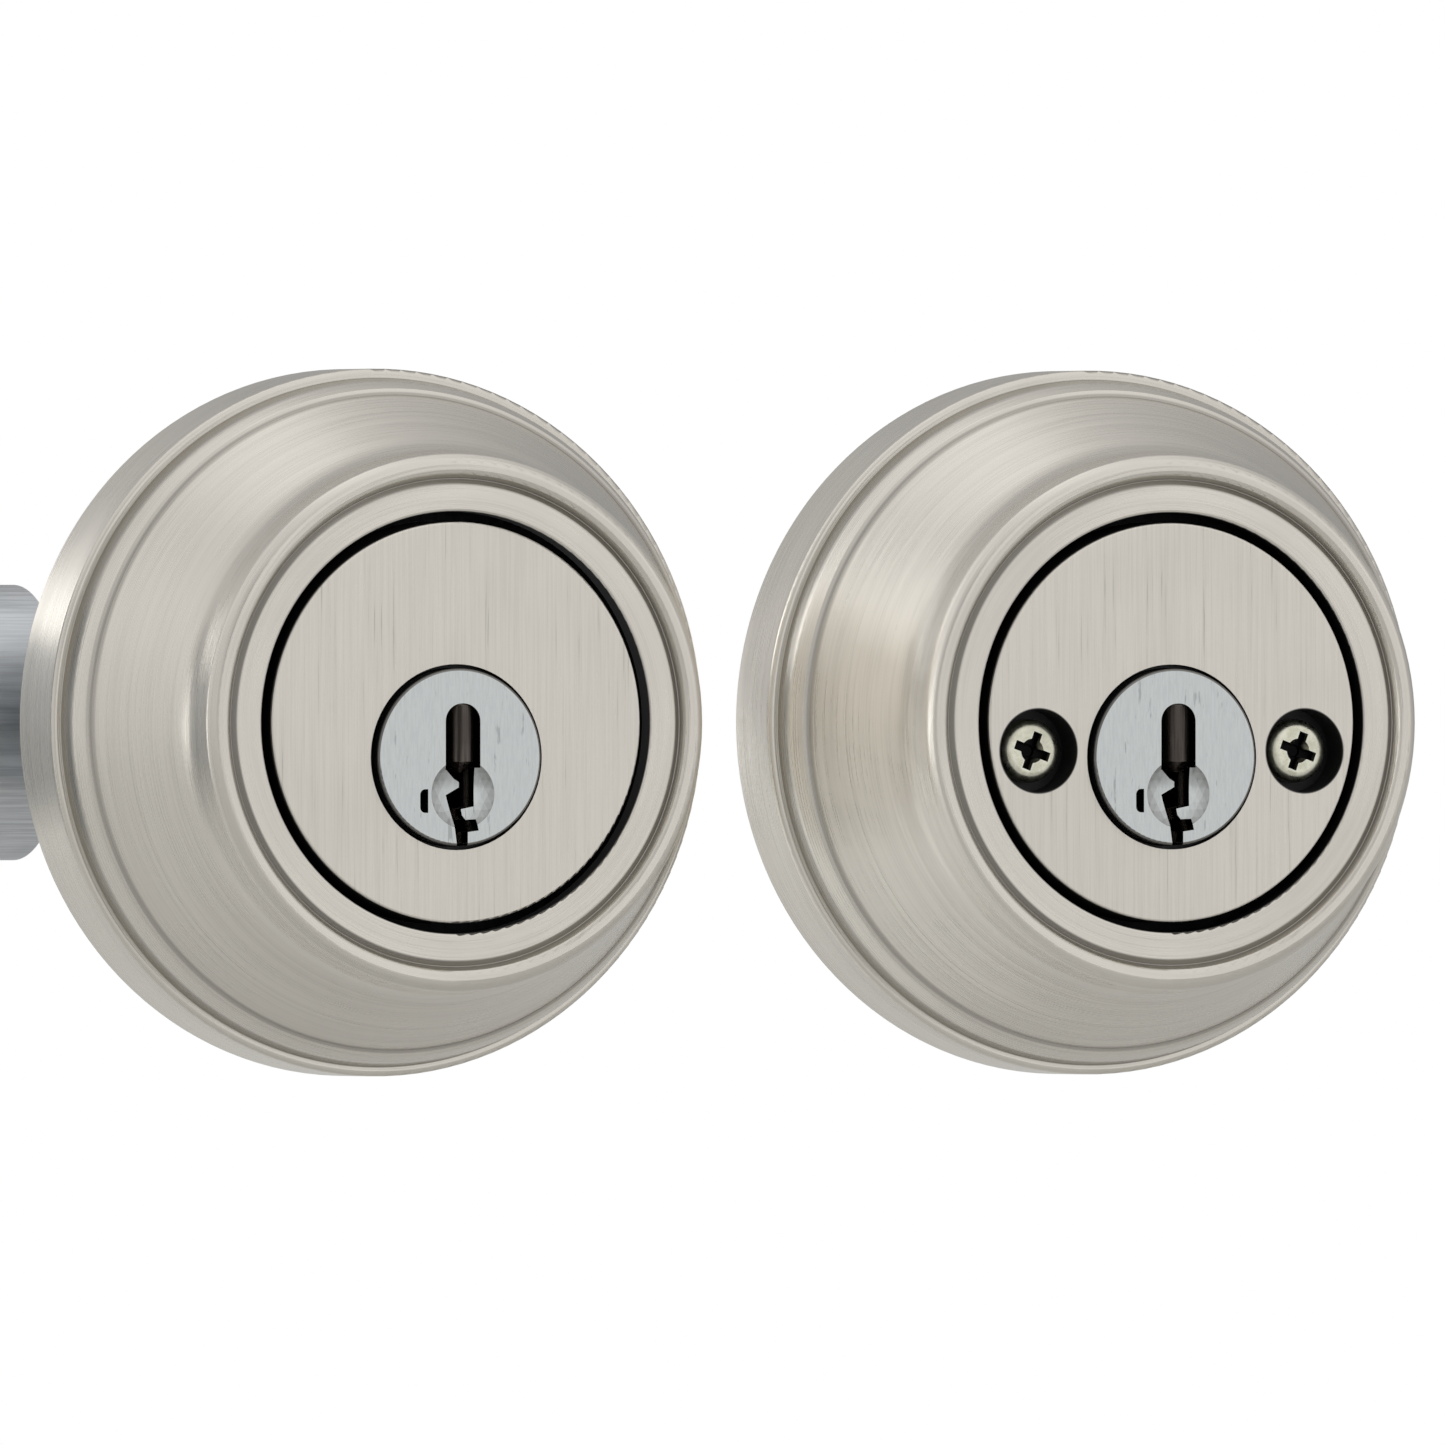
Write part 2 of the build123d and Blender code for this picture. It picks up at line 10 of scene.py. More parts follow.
import bpy
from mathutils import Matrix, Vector


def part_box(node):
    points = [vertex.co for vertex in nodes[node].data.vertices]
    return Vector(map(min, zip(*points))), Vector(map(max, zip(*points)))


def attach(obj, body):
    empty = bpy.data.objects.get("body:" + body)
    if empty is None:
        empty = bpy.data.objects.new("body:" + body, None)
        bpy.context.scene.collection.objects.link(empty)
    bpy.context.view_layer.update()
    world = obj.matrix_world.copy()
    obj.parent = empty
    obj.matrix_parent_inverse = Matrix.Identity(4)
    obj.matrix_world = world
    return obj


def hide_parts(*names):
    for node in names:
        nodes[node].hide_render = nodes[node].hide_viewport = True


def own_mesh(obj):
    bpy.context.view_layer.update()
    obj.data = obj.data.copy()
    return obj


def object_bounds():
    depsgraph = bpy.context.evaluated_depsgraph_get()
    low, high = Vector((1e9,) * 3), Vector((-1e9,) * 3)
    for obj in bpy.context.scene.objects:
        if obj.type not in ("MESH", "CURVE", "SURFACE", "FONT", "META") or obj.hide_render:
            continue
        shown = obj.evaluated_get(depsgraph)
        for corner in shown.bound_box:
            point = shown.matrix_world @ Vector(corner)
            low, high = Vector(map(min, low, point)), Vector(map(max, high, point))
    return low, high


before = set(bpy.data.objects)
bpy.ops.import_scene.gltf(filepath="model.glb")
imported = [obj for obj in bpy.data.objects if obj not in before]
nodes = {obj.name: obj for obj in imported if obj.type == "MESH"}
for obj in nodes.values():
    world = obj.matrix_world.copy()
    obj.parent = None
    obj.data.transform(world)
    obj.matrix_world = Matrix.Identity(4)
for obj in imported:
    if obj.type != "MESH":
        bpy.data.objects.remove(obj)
cad_box = [list(corner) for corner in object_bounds()]

# %% [markdown]
# ## Where the axes are
# The patterns on turned and drilled parts run round an axis, so the script first measures those
# axes on the model itself. A node's box gives its middle, and a round part's middle is its axis.

# %% Measure the axes and heights that the finishes follow


def middle(node):
    """The middle of a node's box at rest."""
    low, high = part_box(node)
    return (low + high) / 2


GUARD_RING_RISE = 0.0031
outer_axis = middle("exterior_rose")
inner_axis = middle("interior_rose")
plug_axis_z = middle("exterior_guard_ring").z - GUARD_RING_RISE
disc_front_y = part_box("exterior_cylinder_housing")[0].y
plug_front_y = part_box("exterior_plug")[0].y
screw_middle = middle("mounting_screws")
screw_low, screw_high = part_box("mounting_screws")
screw_head_radius = (screw_high.z - screw_low.z) / 2
screw_axes_x = (screw_low.x + screw_head_radius, screw_high.x - screw_head_radius)
housing_low, housing_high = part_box("exterior_cylinder_housing")
plug_low, plug_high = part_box("exterior_plug")
housing_radius = (housing_high.z - housing_low.z) / 2
plug_radius = (plug_high.z - plug_low.z) / 2
print("rose axes at x =", round(outer_axis.x, 5), round(inner_axis.x, 5), "plug z", round(plug_axis_z, 5))

# %% [markdown]
# ## Small helpers for node trees
# Making shader nodes by hand in code takes three lines a node: make it, set it, link it. One helper
# does all three. A value that is a socket becomes a link, and any other value becomes a constant.

# %% Helpers that add nodes


def add(tree, kind, feed=None, **settings):
    """Adds a node, sets its properties, and feeds its inputs with constants or links."""
    made = tree.nodes.new(kind)
    for name, value in settings.items():
        setattr(made, name, value)
    for place, value in (feed or {}).items():
        if isinstance(value, bpy.types.NodeSocket):
            tree.links.new(value, made.inputs[place])
        else:
            made.inputs[place].default_value = value
    return made


def sums(tree, operation, *values):
    """One Math node's result."""
    return add(tree, "ShaderNodeMath", dict(enumerate(values)), operation=operation).outputs[0]


def ramp(tree, value, low, high, to_low=0.0, to_high=1.0):
    """Maps a value smoothly from one range to another, and holds it at both ends."""
    feed = {"Value": value, "From Min": low, "From Max": high, "To Min": to_low, "To Max": to_high}
    return add(tree, "ShaderNodeMapRange", feed, interpolation_type="SMOOTHSTEP").outputs[0]


def blend_colours(tree, share, first, second):
    """Mixes two colours."""
    mix = add(tree, "ShaderNodeMix", {0: share, 6: first, 7: second}, data_type="RGBA")
    return mix.outputs[2]


def new_group(name, inputs, outputs):
    """Makes a shader node group with named float inputs (or vectors) and float outputs."""
    tree = bpy.data.node_groups.new(name, "ShaderNodeTree")
    for label, start in inputs.items():
        kind = "NodeSocketVector" if isinstance(start, tuple) else "NodeSocketFloat"
        tree.interface.new_socket(name=label, in_out="INPUT", socket_type=kind).default_value = start
    for label in outputs:
        tree.interface.new_socket(name=label, in_out="OUTPUT", socket_type="NodeSocketFloat")
    return tree, add(tree, "NodeGroupInput").outputs, add(tree, "NodeGroupOutput")


def use_group(tree, group, **values):
    """Places a group and sets its inputs by name."""
    made = tree.nodes.new("ShaderNodeGroup")
    made.node_tree = group
    for name, value in values.items():
        made.inputs[name.replace("_", " ")].default_value = value
    return made.outputs


print("helpers ready:", ", ".join(helper.__name__ for helper in (add, sums, ramp, blend_colours)))
print("group helpers ready:", new_group.__name__, use_group.__name__)

# %% [markdown]
# ## Where a point is, from an axis
# Most masks here are rings: everything inside a radius, or behind a front plane. This group answers
# both questions for any axis that runs along Y, so each finish only has to compare numbers.

# %% The axis_distance group


def make_axis_distance():
    """How far a point lies from an axis along Y, how deep along it, and how high above it."""
    answers = ["Radius", "Depth", "Height"]
    tree, given, out = new_group("axis_distance", {"Axis X": 0.0, "Axis Z": 0.0}, answers)
    place = add(tree, "ShaderNodeTexCoord").outputs["Object"]
    x, y, z = add(tree, "ShaderNodeSeparateXYZ", {0: place}).outputs
    across = sums(tree, "SUBTRACT", x, given["Axis X"])
    height = sums(tree, "SUBTRACT", z, given["Axis Z"])
    squares = sums(tree, "ADD", sums(tree, "POWER", across, 2.0), sums(tree, "POWER", height, 2.0))
    tree.links.new(sums(tree, "SQRT", squares), out.inputs["Radius"])
    tree.links.new(y, out.inputs["Depth"])
    tree.links.new(height, out.inputs["Height"])
    return tree


axis_distance = make_axis_distance()
print("made", axis_distance.name)

# %% [markdown]
# ## Lathe lines
# A rose is turned: a tool travels along it while it spins, so its fine lines are circles round the
# axis. The noise below is sampled by distance from the axis and by depth, and only very slowly by
# angle. That draws each line out into a circle, with a little variation on the way round.

# %% The turned_lines group


def make_turned_lines():
    """A tone that runs in fine circles round an axis along Y."""
    tree, given, out = new_group("turned_lines", {"Axis X": 0.0, "Lines": 4000.0, "Wander": 0.9}, ["Tone"])
    place = add(tree, "ShaderNodeTexCoord").outputs["Object"]
    x, y, z = add(tree, "ShaderNodeSeparateXYZ", {0: place}).outputs
    across = sums(tree, "SUBTRACT", x, given["Axis X"])
    squares = sums(tree, "ADD", sums(tree, "POWER", across, 2.0), sums(tree, "POWER", z, 2.0))
    radius = sums(tree, "SQRT", squares)
    angle = sums(tree, "ARCTAN2", z, across)
    turn = sums(tree, "MULTIPLY", sums(tree, "SINE", sums(tree, "ADD", angle, 0.7)), given["Wander"])
    along = add(tree, "ShaderNodeCombineXYZ", {
        0: sums(tree, "MULTIPLY", radius, given["Lines"]),
        1: sums(tree, "MULTIPLY", y, given["Lines"]),
        2: turn,
    }).outputs[0]
    noise = add(tree, "ShaderNodeTexNoise", {"Vector": along, "Scale": 1.0, "Detail": 2.0, "Roughness": 0.6})
    tree.links.new(noise.outputs[0], out.inputs["Tone"])
    return tree


turned_lines = make_turned_lines()
print("made", turned_lines.name)

# %% [markdown]
# ## Straight grain
# A belt or a brush leaves straight lines. The same noise is squeezed hard across the grain and left
# long along it. The three numbers say how fast it changes along X, Y and Z, so one group serves
# every direction of brushing.

# %% The straight_grain group


def make_straight_grain():
    """A tone in straight lines; the vector says how fast it changes along X, Y and Z."""
    tree, given, out = new_group("straight_grain", {"Change": (5000.0, 5000.0, 60.0)}, ["Tone"])
    place = add(tree, "ShaderNodeTexCoord").outputs["Object"]
    along = add(tree, "ShaderNodeVectorMath", {0: place, 1: given["Change"]}, operation="MULTIPLY").outputs[0]
    noise = add(tree, "ShaderNodeTexNoise", {"Vector": along, "Scale": 1.0, "Detail": 3.0, "Roughness": 0.65})
    tree.links.new(noise.outputs[0], out.inputs["Tone"])
    return tree


straight_grain = make_straight_grain()
print("made", straight_grain.name)

# %% [markdown]
# ## Handling marks, wear and cast skin
# Metal that is handled has soft, wide smudges, and its sharp edges are polished by use. The smudge
# group is slow noise. The wear group compares the true normal with one that has been rounded over
# a short distance: they differ only near an edge. A casting's skin is a fine, uneven grain.

# %% The smudges, edge_wear and cast_skin groups


def make_smudges():
    """A mask of soft, wide patches where hands have been."""
    tree, given, out = new_group("smudges", {"Size": 90.0, "Threshold": 0.45}, ["Mask"])
    place = add(tree, "ShaderNodeTexCoord").outputs["Object"]
    feed = {"Vector": place, "Scale": given["Size"], "Detail": 4.0, "Distortion": 0.6}
    noise = add(tree, "ShaderNodeTexNoise", feed)
    high = sums(tree, "ADD", given["Threshold"], 0.25)
    tree.links.new(ramp(tree, noise.outputs[0], given["Threshold"], high), out.inputs["Mask"])
    return tree


def make_edge_wear():
    """A mask along sharp edges, broken up by a patchy noise."""
    tree, given, out = new_group("edge_wear", {"Amount": 6.0}, ["Mask"])
    rounded = add(tree, "ShaderNodeBevel", {"Radius": 0.00018}, samples=4).outputs[0]
    true = add(tree, "ShaderNodeNewGeometry").outputs["Normal"]
    same = add(tree, "ShaderNodeVectorMath", {0: rounded, 1: true}, operation="DOT_PRODUCT").outputs["Value"]
    edge = sums(tree, "MULTIPLY", sums(tree, "SUBTRACT", 1.0, same), given["Amount"])
    place = add(tree, "ShaderNodeTexCoord").outputs["Object"]
    patchy = add(tree, "ShaderNodeTexNoise", {"Vector": place, "Scale": 900.0, "Detail": 3.0}).outputs[0]
    worn = sums(tree, "MULTIPLY", edge, ramp(tree, patchy, 0.3, 0.6))
    tree.links.new(ramp(tree, worn, 0.05, 0.8), out.inputs["Mask"])
    return tree


def make_cast_skin():
    """A tone like the skin of a casting: fine grain over small cells."""
    tree, given, out = new_group("cast_skin", {"Grain": 2600.0}, ["Tone"])
    place = add(tree, "ShaderNodeTexCoord").outputs["Object"]
    grain = {"Vector": place, "Scale": given["Grain"], "Detail": 5.0}
    fine = add(tree, "ShaderNodeTexNoise", grain).outputs[0]
    cells = add(tree, "ShaderNodeTexVoronoi", {"Vector": place, "Scale": given["Grain"]}).outputs["Distance"]
    tree.links.new(sums(tree, "MULTIPLY_ADD", cells, 0.35, fine), out.inputs["Tone"])
    return tree


smudges = make_smudges()
edge_wear = make_edge_wear()
cast_skin = make_cast_skin()
print("made", smudges.name, edge_wear.name, cast_skin.name)

# %% [markdown]
# ## Starting a metal
# Every finish here is a Principled BSDF. The helper makes it, and sets what is the same all over the
# part, such as full metallic and the amount of anisotropy, as plain constants on its sockets.
# Anisotropy is what makes brushed metal look brushed: a highlight stretches across the grain.

# %% The helpers that start and end a finish


def start_metal(name, anisotropic=0.0, tangent_axis=None, metallic=1.0):
    """A new material with its Principled BSDF, and a tangent round an axis where the grain has one."""
    finish = bpy.data.materials.new(name)
    finish.use_nodes = True
    tree = finish.node_tree
    tree.nodes.clear()
    shader = add(tree, "ShaderNodeBsdfPrincipled", {"Metallic": metallic, "Anisotropic": anisotropic})
    end = add(tree, "ShaderNodeOutputMaterial")
    tree.links.new(shader.outputs[0], end.inputs["Surface"])
    if tangent_axis:
        grain = add(tree, "ShaderNodeTangent", direction_type="RADIAL", axis=tangent_axis)
        tree.links.new(grain.outputs[0], shader.inputs["Tangent"])
    return finish, tree, shader.inputs


def bumped(tree, height, distance, strength=1.0):
    """A normal that is pushed about by a height."""
    feed = {"Height": height, "Distance": distance, "Strength": strength}
    return add(tree, "ShaderNodeBump", feed).outputs[0]


SATIN = (0.735, 0.70, 0.635, 1.0)
SATIN_SHADE = (0.66, 0.627, 0.57, 1.0)
SATIN_DARK = (0.60, 0.57, 0.515, 1.0)
SATIN_SCRATCH = (0.52, 0.495, 0.45, 1.0)
GROOVE_SHADE = (0.16, 0.15, 0.135, 1.0)
# Black painted shade, for bores, gaps, recesses and the deep keyway.
SHADE_BLACK = (0.006, 0.006, 0.006, 1.0)
print("finish helpers ready:", start_metal.__name__, bumped.__name__)

# %% [markdown]
# ## Satin nickel on the roses
# The rose is the turned cap that shows on the door. Its nickel plate is warm grey, with circles left
# by the lathe, and it is finer in front than on its side. The narrow gap between the rose and the
# lock's face reads as a black line, because nothing lights its bottom, so the bore is darkened.

# %% The turned satin nickel

ROSE_BORE = 0.01887
BORE_FADE = 0.00013
# each groove: its radius, half its width, and how much of its colour is painted shade
ROSE_GROOVES = ((0.02160, 0.00045, 0.75), (0.03078, 0.00025, 0.5), (0.02945, 0.00030, 0.45))


def turned_nickel(name, axis):
    """Warm nickel with lathe circles, and painted shade: dark grooves and a black bore."""
    finish, tree, shader = start_metal(name, anisotropic=0.72, tangent_axis="Y")
    broad = use_group(tree, turned_lines, Axis_X=axis.x, Lines=1500.0, Wander=1.6)["Tone"]
    fine = use_group(tree, turned_lines, Axis_X=axis.x, Lines=7000.0, Wander=2.4)["Tone"]
    handled = use_group(tree, smudges, Size=55.0, Threshold=0.42)["Mask"]
    radius = use_group(tree, axis_distance, Axis_X=axis.x, Axis_Z=axis.z)["Radius"]
    mixed = sums(tree, "MULTIPLY_ADD", broad, 0.5, sums(tree, "MULTIPLY", fine, 0.5))
    lines = ramp(tree, mixed, 0.30, 0.62)
    colour = blend_colours(tree, lines, SATIN_SHADE, SATIN)
    # Painted shade: each groove is darkened, as its hollow lies in shade.
    for groove_radius, half_width, share in ROSE_GROOVES:
        off_line = sums(tree, "ABSOLUTE", sums(tree, "SUBTRACT", radius, groove_radius))
        groove_shade = ramp(tree, off_line, half_width * 0.3, half_width, share, 0.0)
        colour = blend_colours(tree, groove_shade, colour, GROOVE_SHADE)
    # Painted shade: the bore inside the rose is painted black, as no light reaches the gap's bottom.
    bore = ramp(tree, radius, ROSE_BORE, ROSE_BORE + BORE_FADE, 1.0, 0.0)
    colour = blend_colours(tree, bore, colour, SHADE_BLACK)
    rough = ramp(tree, fine, 0.3, 0.7, 0.24, 0.33)
    rough = sums(tree, "ADD", rough, sums(tree, "MULTIPLY", handled, 0.05))
    tree.links.new(colour, shader["Base Color"])
    tree.links.new(sums(tree, "MAXIMUM", rough, sums(tree, "MULTIPLY", bore, 0.7)), shader["Roughness"])
    tree.links.new(sums(tree, "SUBTRACT", 1.0, bore), shader["Metallic"])
    tree.links.new(bumped(tree, lines, 0.000006), shader["Normal"])
    return finish


outer_rose_finish = turned_nickel("satin_nickel_turned_outer", outer_axis)
inner_rose_finish = turned_nickel("satin_nickel_turned_inner", inner_axis)
print("made", outer_rose_finish.name, inner_rose_finish.name)

# %% [markdown]
# ## The brushed face
# The round face inside the rose is brushed straight down. Its grain is long, so the streaks run the whole
# height of the disc. The face's side wall, the ring round the plug and the screw recesses are painted black,
# as painted shade: on the real lock they are deep and narrow, and no light reaches their bottoms.

# %% The brushed nickel of the cylinder housings


PLUG_RING_RADIUS = 0.00832
SCREW_RECESS_RADIUS = 0.00378
RECESS_FADE = 0.00014
SIDE_WALL = (0.00025, 0.00009)
BELOW_FACE = (0.00008, 0.0004)


def brushed_face(name, axis, screws):
    """Nickel brushed straight down, with black painted shade on its side wall, round the plug and in the
    recesses.
    """
    finish, tree, shader = start_metal(name, anisotropic=0.55, tangent_axis="X")
    streaks = use_group(tree, straight_grain, Change=(3400.0, 900.0, 60.0))["Tone"]
    hairs = use_group(tree, straight_grain, Change=(9000.0, 900.0, 130.0))["Tone"]
    handled = use_group(tree, smudges, Size=70.0, Threshold=0.44)["Mask"]
    from_axis = use_group(tree, axis_distance, Axis_X=axis.x, Axis_Z=axis.z)
    tone = sums(tree, "MULTIPLY_ADD", streaks, 0.6, sums(tree, "MULTIPLY", hairs, 0.4))
    scratch = ramp(tree, streaks, 0.28, 0.36)
    colour = blend_colours(tree, ramp(tree, tone, 0.34, 0.62), SATIN_SHADE, SATIN)
    colour = blend_colours(tree, scratch, SATIN_SCRATCH, colour)
    # Painted shade: the side wall, the ring round the plug and, below, each screw recess are painted black.
    side = ramp(tree, from_axis["Radius"], *(housing_radius - inset for inset in SIDE_WALL))
    low = ramp(tree, from_axis["Depth"], *(disc_front_y + depth for depth in BELOW_FACE))
    from_plug = use_group(tree, axis_distance, Axis_X=axis.x, Axis_Z=plug_axis_z)["Radius"]
    near_plug = ramp(tree, from_plug, PLUG_RING_RADIUS, PLUG_RING_RADIUS + BORE_FADE, 1.0, 0.0)
    dark = sums(tree, "MULTIPLY", sums(tree, "MAXIMUM", side, near_plug), low)
    for screw_x in screws:
        from_screw = use_group(tree, axis_distance, Axis_X=screw_x, Axis_Z=screw_middle.z)["Radius"]
        recess = ramp(tree, from_screw, SCREW_RECESS_RADIUS, SCREW_RECESS_RADIUS + RECESS_FADE, 1.0, 0.0)
        dark = sums(tree, "MAXIMUM", dark, recess)
    colour = blend_colours(tree, dark, colour, SHADE_BLACK)
    rough = sums(tree, "MULTIPLY_ADD", handled, 0.05, ramp(tree, hairs, 0.3, 0.7, 0.27, 0.36))
    tree.links.new(colour, shader["Base Color"])
    tree.links.new(sums(tree, "MAXIMUM", rough, sums(tree, "MULTIPLY", dark, 0.45)), shader["Roughness"])
    tree.links.new(sums(tree, "SUBTRACT", 1.0, dark), shader["Metallic"])
    tree.links.new(bumped(tree, tone, 0.000008), shader["Normal"])
    return finish


outer_face_finish = brushed_face("brushed_nickel_outer_face", outer_axis, screws=())
inner_face_finish = brushed_face("brushed_nickel_inner_face", inner_axis, screws=screw_axes_x)
print("made", outer_face_finish.name, inner_face_finish.name)

# %% [markdown]
# ## The bright plug
# The plug is the part that the key turns. Its front is polished brighter and cooler than the rest, and keys
# have scratched it. Down inside the keyway no light reaches, so painted shade darkens the finish with depth
# behind the front: brown just behind it, then black. The facets of the shallow dish round the keyway get a
# dark grey painted shade.

# %% The polished nickel of the plugs


PLUG_SHADE = (0.515, 0.54, 0.54, 1.0)
PLUG_LIGHT = (0.585, 0.61, 0.605, 1.0)
PLUG_SCRATCH = (0.40, 0.415, 0.415, 1.0)
DISH_SHADE = (0.20, 0.195, 0.185, 1.0)
KEYWAY_SHADE_BROWN = (0.44, 0.375, 0.33, 1.0)
# where each band of painted shade begins and ends, as depths behind the front or heights above the axis
WALL_DEPTHS = (0.0004, 0.0014)
WARD_DEPTHS = (0.0012, 0.003)
DEEP_DEPTHS = (0.004, 0.012)
SIDE_DEPTHS = (0.00004, 0.00016)
WARD_HEIGHTS = (-0.0014, -0.0006)
RIM_INSETS = (0.00026, 0.00018)


def behind_front(depths):
    """Depths behind the plug's front, as places along Y."""
    return [plug_front_y + depth for depth in depths]


def bright_plug(name, axis):
    """Cool, scratched nickel with painted shade: dark grey on the dish's facets, brown, then black, down
    inside the keyway.
    """
    finish, tree, shader = start_metal(name, anisotropic=0.25, tangent_axis="X")
    fine = use_group(tree, straight_grain, Change=(4200.0, 4200.0, 500.0))["Tone"]
    scratches = use_group(tree, straight_grain, Change=(1900.0, 1900.0, 260.0))["Tone"]
    from_axis = use_group(tree, axis_distance, Axis_X=axis.x, Axis_Z=plug_axis_z)
    y = from_axis["Depth"]
    colour = blend_colours(tree, ramp(tree, fine, 0.32, 0.66), PLUG_SHADE, PLUG_LIGHT)
    colour = blend_colours(tree, ramp(tree, scratches, 0.31, 0.37), PLUG_SCRATCH, colour)
    # Painted shade: surfaces that don't face straight forward or back, such as the facets of the dish round
    # the keyway, are painted dark grey.
    facing = add(tree, "ShaderNodeNewGeometry").outputs["True Normal"]
    forward = add(tree, "ShaderNodeSeparateXYZ", {0: facing}).outputs[1]
    flat = ramp(tree, sums(tree, "ABSOLUTE", forward), 0.965, 0.997)
    colour = blend_colours(tree, flat, DISH_SHADE, colour)
    # Painted shade in the keyway: brown just behind the front, then black deeper down, in the lower wards and
    # round the plug's side.
    wall = ramp(tree, y, *behind_front(WALL_DEPTHS))
    colour = blend_colours(tree, wall, colour, KEYWAY_SHADE_BROWN)
    warded = ramp(tree, from_axis["Height"], *WARD_HEIGHTS, 1.0, 0.0)
    deep = ramp(tree, y, *behind_front(DEEP_DEPTHS))
    deep_wards = sums(tree, "MULTIPLY", warded, ramp(tree, y, *behind_front(WARD_DEPTHS)))
    rim = ramp(tree, from_axis["Radius"], *(plug_radius - inset for inset in RIM_INSETS))
    side = sums(tree, "MULTIPLY", rim, ramp(tree, y, *behind_front(SIDE_DEPTHS)))
    dark = sums(tree, "MAXIMUM", sums(tree, "MAXIMUM", deep, deep_wards), side)
    colour = blend_colours(tree, dark, colour, SHADE_BLACK)
    tree.links.new(colour, shader["Base Color"])
    tree.links.new(ramp(tree, fine, 0.3, 0.7, 0.13, 0.21), shader["Roughness"])
    tree.links.new(sums(tree, "SUBTRACT", 1.0, dark), shader["Metallic"])
    tree.links.new(bumped(tree, scratches, 0.000010), shader["Normal"])
    return finish


outer_plug_finish = bright_plug("bright_nickel_outer_plug", outer_axis)
inner_plug_finish = bright_plug("bright_nickel_inner_plug", inner_axis)
print("made", outer_plug_finish.name, inner_plug_finish.name)

# %% [markdown]
# ## Plain metals
# The parts behind the door are bought-in hardware: zinc-plated steel, die-cast zinc, brass, spring
# steel and blackened steel. They differ in colour, in how rough they are and in the size of their
# grain, so one function makes them all from a few values, with worn edges on each.

# %% The hidden parts' finishes


def plain_metal(name, dark, light, rough, grain, wear, worn_colour):
    """A metal whose colour and roughness follow a directional grain, with bright worn edges."""
    finish, tree, shader = start_metal(name, anisotropic=0.2)
    tone = use_group(tree, straight_grain, Change=grain)["Tone"]
    stain = use_group(tree, smudges, Size=130.0, Threshold=0.40)["Mask"]
    worn = use_group(tree, edge_wear, Amount=wear)["Mask"]
    colour = blend_colours(tree, ramp(tree, tone, 0.32, 0.66), dark, light)
    colour = blend_colours(tree, sums(tree, "MULTIPLY", stain, 0.35), colour, dark)
    colour = blend_colours(tree, worn, colour, worn_colour)
    low, high = rough
    value = sums(tree, "MULTIPLY_ADD", stain, 0.08, ramp(tree, tone, 0.3, 0.7, low, high))
    tree.links.new(colour, shader["Base Color"])
    tree.links.new(value, shader["Roughness"])
    tree.links.new(bumped(tree, tone, 0.000008), shader["Normal"])
    return finish


CAST_WORN = (0.72, 0.73, 0.74, 1.0)


def cast_metal(name, dark, light, rough):
    """Die-cast zinc: a pale skin with fine, even pits."""
    finish, tree, shader = start_metal(name)
    skin = use_group(tree, cast_skin, Grain=2600.0)["Tone"]
    stain = use_group(tree, smudges, Size=110.0, Threshold=0.42)["Mask"]
    worn = use_group(tree, edge_wear, Amount=5.0)["Mask"]
    colour = blend_colours(tree, ramp(tree, skin, 0.35, 0.85), dark, light)
    colour = blend_colours(tree, sums(tree, "MULTIPLY", stain, 0.4), colour, dark)
    colour = blend_colours(tree, worn, colour, CAST_WORN)
    tree.links.new(colour, shader["Base Color"])
    tree.links.new(ramp(tree, skin, 0.3, 0.9, rough, rough + 0.15), shader["Roughness"])
    tree.links.new(bumped(tree, skin, 0.00002), shader["Normal"])
    return finish


ALONG_X = (90.0, 3200.0, 3200.0)
ALONG_Y = (3200.0, 90.0, 3200.0)
ALONG_Z = (3200.0, 3200.0, 90.0)
EVEN = (1100.0, 1100.0, 1100.0)
zinc_plate = plain_metal(
    "zinc_plated_steel", dark=(0.50, 0.52, 0.54, 1.0), light=(0.68, 0.70, 0.72, 1.0),
    rough=(0.28, 0.42), grain=ALONG_X, wear=5.0, worn_colour=(0.80, 0.81, 0.82, 1.0))
latch_nickel = plain_metal(
    "satin_nickel_brushed", dark=SATIN_DARK, light=SATIN,
    rough=(0.26, 0.38), grain=ALONG_Z, wear=4.0, worn_colour=(0.80, 0.77, 0.71, 1.0))
pale_yellow_zinc = plain_metal(
    "yellow_zinc_steel", dark=(0.60, 0.59, 0.47, 1.0), light=(0.84, 0.83, 0.70, 1.0),
    rough=(0.24, 0.38), grain=EVEN, wear=5.0, worn_colour=(0.86, 0.86, 0.78, 1.0))
brass = plain_metal(
    "machined_brass", dark=(0.52, 0.36, 0.15, 1.0), light=(0.74, 0.56, 0.28, 1.0),
    rough=(0.22, 0.36), grain=ALONG_Y, wear=5.0, worn_colour=(0.86, 0.70, 0.42, 1.0))
spring_steel = plain_metal(
    "spring_steel", dark=(0.30, 0.31, 0.33, 1.0), light=(0.50, 0.51, 0.53, 1.0),
    rough=(0.18, 0.30), grain=ALONG_Z, wear=3.0, worn_colour=(0.66, 0.67, 0.69, 1.0))
black_oxide = plain_metal(
    "blackened_steel", dark=(0.008, 0.008, 0.009, 1.0), light=(0.022, 0.022, 0.024, 1.0),
    rough=(0.42, 0.58), grain=EVEN, wear=1.5, worn_colour=(0.10, 0.10, 0.10, 1.0))
oiled_bronze = plain_metal(
    "oiled_bronze", dark=(0.040, 0.034, 0.030, 1.0), light=(0.130, 0.112, 0.100, 1.0),
    rough=(0.18, 0.32), grain=ALONG_Z, wear=2.0, worn_colour=(0.34, 0.30, 0.27, 1.0))
die_cast = cast_metal("zinc_casting", (0.42, 0.43, 0.44, 1.0), (0.60, 0.61, 0.62, 1.0), 0.42)
print("made the hidden parts' finishes")

